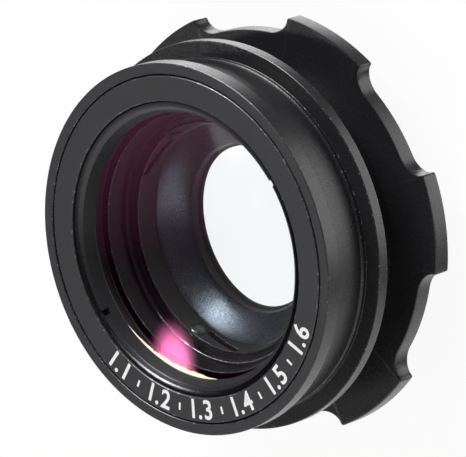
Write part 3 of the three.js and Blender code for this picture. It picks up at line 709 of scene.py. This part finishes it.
for place, angle in enumerate(pinAngles):
    pinPiece = turned(f"cam_pin_{place + 1}_steel", [
        (0, pinEnds["tip"]), pinEnds["flat"], pinEnds["chamfer"], (pinEnds["collar"], carrier["skirtBore"]),
        (pin["radius"], carrier["skirtBore"]), (pin["radius"], pinEnds["headFoot"]),
        (pinEnds["head"], pinEnds["headFoot"]), (pinEnds["head"], pinEnds["headTop"], pinEnds["edge"]),
        (0, pinEnds["headTop"])], segments=40)
    layRadially(pinPiece, angle)
    finishPiece(pinPiece, bluedSteel if place == 0 else paintedShadeSteel, "lens_carrier",
                f"cam_pin_{place + 1}")
    bushPiece = turned(f"guide_bush_{place + 1}_brass", [
        (bush["bore"], bush["inner"]), (bush["radius"], bush["inner"], bush["edge"]),
        (bush["radius"], bush["outer"], bush["edge"]), (bush["bore"], bush["outer"])], segments=40)
    layRadially(bushPiece, angle)
    finishPiece(bushPiece, turnedBrass, "lens_carrier", f"guide_bush_{place + 1}")


# zoom ring: six broad lobes, chamfered, on a hub with three keyways

zoomRing = {"lobes": 6, "lobe": 22.98, "valley": 20.9, "firstLobe": 46, "lobeAngle": 26.8,
            "valleyAngle": 20.2, "corner": 0.32, "flank": 0.45, "foot": 3.6, "top": 5.7, "chamfer": 0.2,
            "bore": 14.7, "hub": 16.9, "hubRoot": ((0.12, 0), (0.03, 0.04), (0, 0.14)), "hubTop": 12.42,
            "keyway": 16.0, "keywayInner": 14.3, "keywayFoot": 7.41, "keywayTop": 13.0}


def gripOutline():
    # each lobe: floor arc, soft flank, small corner, lobe arc, and down again
    grip = []
    lobe, valley, corner = zoomRing["lobe"], zoomRing["valley"], zoomRing["corner"]
    lobeAngle, valleyAngle = math.radians(zoomRing["lobeAngle"]), math.radians(zoomRing["valleyAngle"])
    pitch, small = math.tau / zoomRing["lobes"], corner / lobe
    knee = valley + (lobe - valley) * zoomRing["flank"]

    def at(radius, angle):
        return Vector(polar(radius, angle, 0)[:2])

    def arc(radius, start, sweep, steps):
        grip.extend(at(radius, start + sweep * step / steps) for step in range(1, steps + 1))

    def curve(knots, steps):
        for step in range(1, steps + 1):
            between = list(knots)
            while len(between) > 1:
                between = [one.lerp(other, step / steps) for one, other in zip(between, between[1:])]
            grip.append(between[0])

    for place in range(zoomRing["lobes"]):
        lobeStart = math.radians(zoomRing["firstLobe"]) + place * pitch - lobeAngle / 2
        lobeEnd = lobeStart + lobeAngle
        floorStart = lobeStart - (pitch - lobeAngle + valleyAngle) / 2
        floorEnd = floorStart + valleyAngle
        reach = (lobeStart - floorEnd) * zoomRing["flank"]
        arc(valley, floorStart, valleyAngle, 12)
        curve([at(valley, floorEnd), at(valley, lobeStart - reach), at(knee, lobeStart),
               at(lobe - corner, lobeStart)], 12)
        curve([at(lobe - corner, lobeStart), at(lobe, lobeStart), at(lobe, lobeStart + small)], 4)
        arc(lobe, lobeStart + small, lobeAngle - 2 * small, 20)
        curve([at(lobe, lobeEnd - small), at(lobe, lobeEnd), at(lobe - corner, lobeEnd)], 4)
        curve([at(lobe - corner, lobeEnd), at(knee, lobeEnd), at(valley, lobeEnd + reach),
               at(valley, floorStart + pitch)], 12)
    return grip


outline = gripOutline()


def gripLevel(inset, height):
    # the grip's outline, drawn in by the inset, at one height
    loop = []
    for place, here in enumerate(outline):
        along = (outline[(place + 1) % len(outline)] - outline[place - 1]).normalized()
        loop.append((*(here - Vector((along.y, -along.x)) * inset), height))
    return loop


def circleLevel(radius, height):
    return [polar(radius, math.atan2(point.y, point.x), height) for point in outline]


chamfer, eased = zoomRing["chamfer"], zoomRing["chamfer"] * 0.3
loops = [circleLevel(zoomRing["bore"], zoomRing["foot"]), gripLevel(chamfer, zoomRing["foot"]),
         gripLevel(eased, zoomRing["foot"] + eased), gripLevel(0, zoomRing["foot"] + chamfer),
         gripLevel(0, zoomRing["top"] - chamfer), gripLevel(eased, zoomRing["top"] - eased),
         gripLevel(chamfer, zoomRing["top"]),
         *[circleLevel(zoomRing["hub"] + wide, zoomRing["top"] + high)
           for wide, high in zoomRing["hubRoot"]],
         circleLevel(zoomRing["hub"], zoomRing["hubTop"]), circleLevel(zoomRing["bore"], zoomRing["hubTop"])]
points = [point for loop in loops for point in loop]
faces = []
for place in range(len(loops)):
    here, above = place * len(outline), (place + 1) % len(loops) * len(outline)
    for spot in range(len(outline)):
        beside = (spot + 1) % len(outline)
        faces.append([here + spot, here + beside, above + beside, above + spot])
zoomPiece = newPiece("scalloped_zoom_ring", points, faces)
carve(zoomPiece, [
    block("keywayCutter", (zoomRing["keywayInner"], -pin["slotHalf"], zoomRing["keywayFoot"]),
          (zoomRing["keyway"], pin["slotHalf"], zoomRing["keywayTop"]), angle) for angle in pinAngles])
for face in zoomPiece.data.polygons:
    if face.normal.z > 0.99 and face.center.z < (zoomRing["top"] + 0.01) * mm:
        # painted light: the lobes' flat top is drawn a shade lighter
        face.material_index = 2  # the lobes' flat top
finishPiece(zoomPiece, [*outerAnodised, paintedLightFlatAnodised], "zoom_ring", "zoom_ring")
print("zoom ring made")


# camera side: slip washers at both ends of the zoom ring, and the plate that closes the part

washer = {"bore": 14.7, "radius": 16.9, "thick": 0.2, "edge": 0.03, "frontFoot": 12.47, "rearFoot": 3.3}
for side in ("front", "rear"):
    foot = washer[f"{side}Foot"]
    washerPiece = turned(f"{side}_slip_washer", [
        (washer["bore"], foot), (washer["radius"], foot, washer["edge"]),
        (washer["radius"], foot + washer["thick"], washer["edge"]), (washer["bore"], foot + washer["thick"])])
    finishPiece(washerPiece, blackNylon, "housing", f"{side}_thrust_washer")

plate = {"bore": 11.5, "bevel": 0.9, "radius": 17.0, "top": 3.3, "cup": 14.7, "floor": 1.9,
         "adapterCircle": 15.85, "adapterHole": 0.8, "adapterDepth": 2.6, "below": -0.5, "holeTop": 2.4}
platePiece = turned("camera_side_plate", [
    (plate["bore"] + plate["bevel"], 0, 0.06), (plate["radius"], 0, 0.2), (plate["radius"], plate["top"], 0.08),
    (plate["cup"], plate["top"]), (plate["cup"], plate["floor"]), (plate["bore"], plate["floor"]),
    (plate["bore"], plate["bevel"], 0.06)])
cutters = []
for angle in screwAngles:
    for radius, top in ((screw["radius"], plate["holeTop"]), (screw["head"], screw["headTop"])):
        cutters.append(uprightRod("holeCutter", radius + screw["holePlay"], screw["circle"], angle,
                                  plate["below"], top))
cutters += [uprightRod("adapterCutter", plate["adapterHole"], plate["adapterCircle"], angle,
                       plate["below"], plate["adapterDepth"]) for angle in (0, math.pi)]
carve(platePiece, cutters)
finishPiece(platePiece, outerAnodised, "housing", "rear_plate")
for place, angle in enumerate(screwAngles):
    screwPiece = turned(f"plate_screw_{place + 1}", [
        (0, screw["headFoot"]), (screw["head"], screw["headFoot"], 0.12), (screw["head"], screw["headTop"]),
        (screw["radius"], screw["headTop"]), (screw["radius"], screw["tip"], 0.1),
        (0, screw["tip"])], segments=40)
    carve(screwPiece, [
        block("driverCutter", (-screw["cross"], -screw["crossHalf"], -0.1),
              (screw["cross"], screw["crossHalf"], screw["crossDepth"]), quarter + screw["crossAngle"])
        for quarter in (0, math.pi / 2)])
    screwPiece.data.transform(Matrix.Translation(Vector(polar(screw["circle"], angle, 0)) * mm))
    finishPiece(screwPiece, turnedSteel, "housing", f"rear_plate_screw_{place + 1}")
print("rear plate made")


stage = {"reach": 1500, "glow": 1.0, "shadowShare": 0.08, "paper": "#fbfbfb"}


def stagePaper(name):
    # a white sweep: it glows white to the camera and through glass, and a little of its
    # own shading keeps the shadow; from below it is clear
    material = newMaterial(name)
    path = addNode(material, "ShaderNodeLightPath")
    geometry = addNode(material, "ShaderNodeNewGeometry")
    matte = addNode(material, "ShaderNodeBsdfDiffuse", Color=toLinear(stage["paper"]))
    glow = addNode(material, "ShaderNodeEmission", Color=toLinear("#ffffff"), Strength=stage["glow"])
    share = addNode(material, "ShaderNodeMapRange", {
        "Value": path.outputs["Is Camera Ray"], "To Min": 1.0, "To Max": 1 - stage["shadowShare"]})
    lit = addNode(material, "ShaderNodeMixShader", {
        0: share.outputs[0], 1: matte.outputs[0], 2: glow.outputs[0]})
    clear = addNode(material, "ShaderNodeBsdfTransparent")
    both = addNode(material, "ShaderNodeMixShader", {
        0: geometry.outputs["Backfacing"], 1: lit.outputs[0], 2: clear.outputs[0]})
    addNode(material, "ShaderNodeOutputMaterial", {"Surface": both.outputs[0]})
    return material


reach = stage["reach"]
floor = newPiece("floor", [(-reach, -reach, 0), (reach, -reach, 0), (reach, reach, 0), (-reach, reach, 0)],
                 [(0, 1, 2, 3)])
floor.data.materials.append(stagePaper("whiteSweep"))
floor.visible_glossy = floor.visible_diffuse = floor.visible_shadow = False  # the part is lit from below too

# The studio as the part sees it, in the photo's axes (right, up, towards the camera): a
# white table, a backdrop, three soft boxes and a small lamp in a dim room. Each panel is a
# round patch of sky, with the angles at which it starts and ends its fade.
studio = {
    "room": 0.2, "table": 1.2, "horizon": (-0.29, -0.36), "left": (-0.45, -0.75),
    "leftRoom": 0.05, "leftTable": 1.25, "leftHorizon": (-0.31, -0.62),
    "panels": {
        "backdrop": {"towards": (0.0, 0.10, -1.0), "full": 22, "none": 44, "radiance": 1.0},
        "backBox": {"towards": (0.04, 0.65, -0.76), "full": 14, "none": 18, "radiance": 3.2},
        "keyBox": {"towards": (-0.515, 0.79, 0.345), "full": 11, "none": 21, "radiance": 17.0},
        "cameraShade": {"towards": (0.0, 0.0, 1.0), "full": 20, "none": 48, "radiance": 0.06},
        "rightBox": {"towards": (0.945, 0.32, -0.04), "full": 14, "none": 34, "radiance": 2.6},
        "smallLamp": {"towards": (-0.9715, -0.121, 0.203), "full": 1.8, "none": 5.1, "radiance": 28.0,
                      "power": 3.5},
    },
}
world = bpy.data.worlds.new("studio")
bpy.context.scene.world = world
world.use_nodes = True
world.node_tree.nodes.clear()
sky = addNode(world, "ShaderNodeTexCoord").outputs["Generated"]
upward = addNode(world, "ShaderNodeVectorMath", {0: sky, 1: photoUp}, operation="DOT_PRODUCT")
light = addNode(world, "ShaderNodeMapRange", {
    "Value": upward.outputs["Value"], "From Min": studio["horizon"][0], "From Max": studio["horizon"][1],
    "To Min": studio["room"], "To Max": studio["table"]})
# the table's left end lies further from its lamp and falls off towards the horizon
sideways = addNode(world, "ShaderNodeVectorMath", {0: sky, 1: photoRight}, operation="DOT_PRODUCT")
leftward = addNode(world, "ShaderNodeMapRange", {
    "Value": sideways.outputs["Value"], "From Min": studio["left"][0], "From Max": studio["left"][1]})
leftLight = addNode(world, "ShaderNodeMapRange", {
    "Value": upward.outputs["Value"], "From Min": studio["leftHorizon"][0],
    "From Max": studio["leftHorizon"][1], "To Min": studio["leftRoom"], "To Max": studio["leftTable"]})
light = addNode(world, "ShaderNodeMix", {
    "Factor": leftward.outputs[0], 2: light.outputs[0], 3: leftLight.outputs[0]})
for panel in studio["panels"].values():
    nearness = addNode(world, "ShaderNodeVectorMath", {0: sky, 1: photoDirection(*panel["towards"])},
                       operation="DOT_PRODUCT")
    mask = addNode(world, "ShaderNodeMapRange", {
        "Value": nearness.outputs["Value"], "From Min": math.cos(math.radians(panel["none"])),
        "From Max": math.cos(math.radians(panel["full"]))},
        interpolation_type="LINEAR" if "power" in panel else "SMOOTHSTEP")
    fade = addNode(world, "ShaderNodeMath", {0: mask.outputs["Result"], 1: panel.get("power", 1.0)},
                   operation="POWER")
    light = addNode(world, "ShaderNodeMix", {
        "Factor": fade.outputs[0], 2: light.outputs[0], 3: panel["radiance"]})
# behind the part it is white, straight on and through the lenses, but not for light that
# has already touched a surface inside
path = addNode(world, "ShaderNodeLightPath")
touched = addNode(world, "ShaderNodeMath", {
    0: path.outputs["Diffuse Depth"], 1: path.outputs["Glossy Depth"]}, operation="ADD")
untouched = addNode(world, "ShaderNodeMath", {0: touched.outputs[0], 1: 0.5}, operation="LESS_THAN")
through = addNode(world, "ShaderNodeMath", {
    0: path.outputs["Is Transmission Ray"], 1: untouched.outputs[0]}, operation="MULTIPLY")
seen = addNode(world, "ShaderNodeMath", {
    0: path.outputs["Is Camera Ray"], 1: through.outputs[0]}, operation="MAXIMUM")
strength = addNode(world, "ShaderNodeMix", {"Factor": seen.outputs[0], 2: light.outputs[0], 3: 1.0})
glow = addNode(world, "ShaderNodeBackground", {"Strength": strength.outputs[0]}, Color=toLinear("#ffffff"))
addNode(world, "ShaderNodeOutputWorld", {"Surface": glow.outputs[0]})
print("stage lit")
